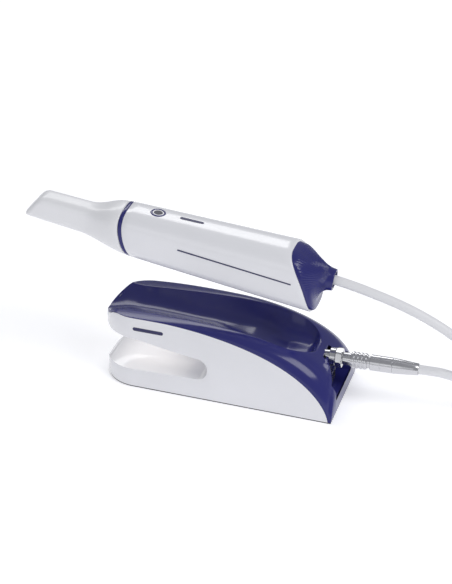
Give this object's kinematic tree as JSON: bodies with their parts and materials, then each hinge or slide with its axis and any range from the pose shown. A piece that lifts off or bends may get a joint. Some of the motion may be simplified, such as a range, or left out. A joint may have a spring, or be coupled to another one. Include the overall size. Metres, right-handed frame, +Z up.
{
  "type": "intraoral camera",
  "caption": "Hand-held intraoral scanner handpiece with a slip-off mirror tip, lifted above its navy and white desktop cradle, with the lead between them.",
  "frame": {"origin": "centre of the cradle's flat underside, on the desk", "axes": "+X along the cradle towards its rear, where the lead plugs in; +Y across the cradle; +Z up"},
  "size_m": [0.4849, 0.112, 0.1427],
  "materials": {
    "white_plastic": "gloss white",
    "navy_plastic": "gloss navy",
    "tip_plastic": "gloss white, autoclavable",
    "dark_plastic": "satin",
    "pad_rubber": "matte",
    "plain_steel": "satin",
    "board_green": "solder mask",
    "plated_metal": "polished",
    "navy_ink": "printed",
    "mirror_glass": "mirror",
    "clear_glass": "clear",
    "light_alloy": "bead blasted",
    "black_alloy": "black anodised",
    "header_plastic": "matte",
    "contact_gold": "gold plated",
    "lead_jacket": "satin white",
    "tie_fabric": "hook and loop"
  },
  "bodies": {
    "base": {"base_shell": "white_plastic", "cradle_cover": "navy_plastic", "base_plate": "dark_plastic", "anti_slip_pad": "pad_rubber", "ballast_plate": "plain_steel", "base_screws": "plain_steel", "dock_board": "board_green", "host_socket": "plated_metal", "socket_body": "plated_metal", "socket_nut": "plated_metal", "cradle_mark": "navy_ink", "cable_run": "lead_jacket", "cable_coil": "lead_jacket", "cable_return": "lead_jacket", "cable_tie": "tie_fabric"},
    "plug": {"plug_body": "plated_metal", "plug_pins": "contact_gold", "plug_back_nut": "plated_metal"},
    "sleeve": {"release_sleeve": "plated_metal"},
    "handpiece": {"handpiece_shell": "white_plastic", "seam_ring": "navy_plastic", "nose_collar": "dark_plastic", "nose_glass": "clear_glass", "chassis": "light_alloy", "lens_barrel": "black_alloy", "objective_lens": "clear_glass", "projector_module": "dark_plastic", "sensor_board": "board_green", "main_board": "board_green", "heat_sink": "light_alloy", "button_bezel": "navy_plastic", "dome_switch": "plain_steel", "button_board": "board_green", "pinstripe": "navy_ink", "handpiece_mark": "navy_ink", "tail_cap": "navy_plastic", "cable_grommet": "pad_rubber", "lead_header": "header_plastic"},
    "tip": {"tip_sleeve": "tip_plastic", "tip_mirror": "mirror_glass"},
    "button": {"button_cap": "white_plastic", "button_dot": "dark_plastic"}
  },
  "joints": [
    {"name": "handpiece_lift", "type": "slide", "parent": "base", "child": "handpiece", "axis": [0, 0, 1], "range_m": [-0.035, 0.03], "deforming": ["cable_run"]},
    {"name": "tip_pull", "type": "slide", "parent": "handpiece", "child": "tip", "axis": [-0.9903, 0, 0.1392], "range_m": [0, 0.03]},
    {"name": "scan_button_press", "type": "slide", "parent": "handpiece", "child": "button", "axis": [-0.1115, 0, -0.9938], "range_m": [0, 0.0008], "stiffness_N_per_m": 1500},
    {"name": "plug_pull", "type": "slide", "parent": "base", "child": "plug", "axis": [1, 0, 0], "range_m": [0, 0.015]},
    {"name": "sleeve_release", "type": "slide", "parent": "plug", "child": "sleeve", "axis": [1, 0, 0], "range_m": [0, 0.002], "stiffness_N_per_m": 800}
  ]
}
